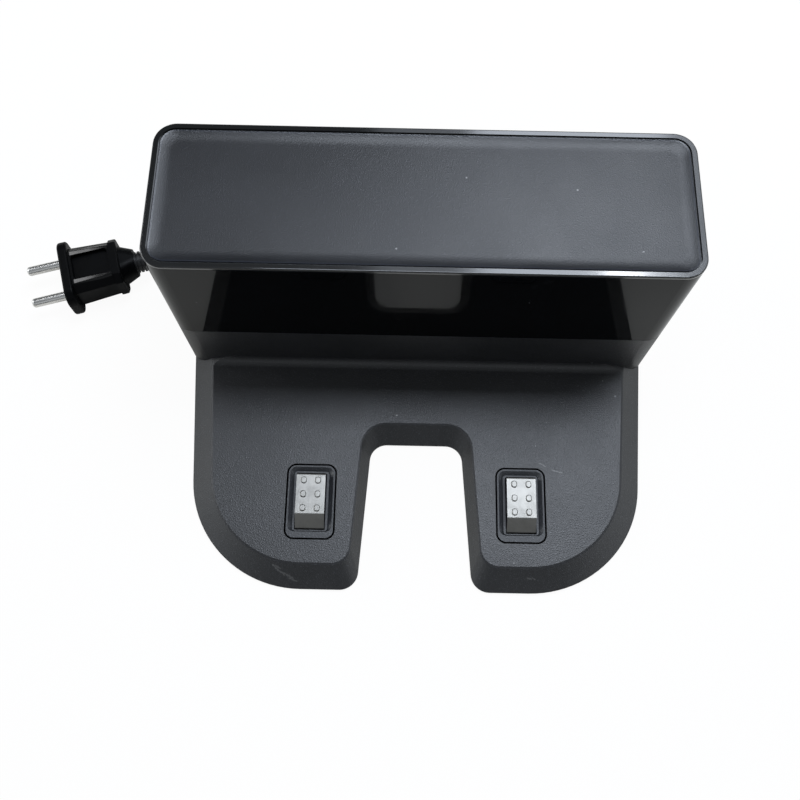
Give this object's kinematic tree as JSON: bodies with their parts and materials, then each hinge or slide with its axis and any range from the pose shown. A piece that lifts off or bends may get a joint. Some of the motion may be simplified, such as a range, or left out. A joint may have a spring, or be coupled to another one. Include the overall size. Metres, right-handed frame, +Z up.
{
  "type": "robot vacuum charging dock",
  "caption": "Floor dock for a robot vacuum: gloss-windowed tower on a low ramped base with a caster notch, sprung charging contacts, mains cord and plug.",
  "frame": {"origin": "on the floor, midway between the tower's back and the base's front edge, on the symmetry plane", "axes": "+X to the right of someone facing the dock, +Y towards its back, +Z up"},
  "size_m": [0.3245, 0.2543, 0.11],
  "materials": {
    "housing": "fine grained dark grey",
    "window": "polished black",
    "lid": "fine grained bluish grey",
    "bezel": "fine grained",
    "contact_nickel": "satin nickel",
    "carrier": "moulded",
    "spring_steel": "drawn wire",
    "terminal_brass": "stamped",
    "wire": "insulated wire",
    "board": "laminate",
    "emitter": "clear",
    "screw_steel": "plated",
    "ferrite": "ground",
    "winding": "taped",
    "capacitor": "sleeved",
    "block": "moulded",
    "foot_rubber": "matt",
    "cord_rubber": "satin",
    "plug": "satin black",
    "pin_nickel": "polished"
  },
  "bodies": {
    "dock": {"main_housing": "housing", "front_window": "window", "rear_cover": "housing", "top_cover": "lid", "bottom_plate": "housing", "rubber_feet": "foot_rubber", "base_screws": "screw_steel", "contact_bezel_left": "bezel", "contact_bezel_right": "bezel", "contact_spring_left": "spring_steel", "contact_spring_right": "spring_steel", "contact_terminal_left": "terminal_brass", "contact_terminal_right": "terminal_brass", "contact_lead_left": "wire", "contact_lead_right": "wire", "mains_wires": "wire", "beacon_board": "board", "beacon_emitters": "emitter", "power_board": "board", "board_screws": "screw_steel", "transformer_core": "ferrite", "transformer_winding": "winding", "bulk_capacitor": "capacitor", "mains_choke": "winding", "output_block": "block", "mains_block": "block", "cord_gland": "cord_rubber", "plug_body": "plug", "plug_relief": "cord_rubber", "plug_pins": "pin_nickel", "cord_hank": "cord_rubber", "cord_tie": "carrier", "cord_lead": "cord_rubber", "cord_tail": "cord_rubber"},
    "contact_left": {"contact_plate_left": "contact_nickel", "contact_carrier_left": "carrier"},
    "contact_right": {"contact_plate_right": "contact_nickel", "contact_carrier_right": "carrier"}
  },
  "joints": [
    {"name": "contact_left_press", "type": "slide", "parent": "dock", "child": "contact_left", "axis": [0, 0, -1], "range_m": [0, 0.0024], "stiffness_N_per_m": 400, "springref_m": -0.002, "deforming": ["contact_spring_left"]},
    {"name": "contact_right_press", "type": "slide", "parent": "dock", "child": "contact_right", "axis": [0, 0, -1], "range_m": [0, 0.0024], "stiffness_N_per_m": 400, "springref_m": -0.002, "deforming": ["contact_spring_right"]}
  ]
}
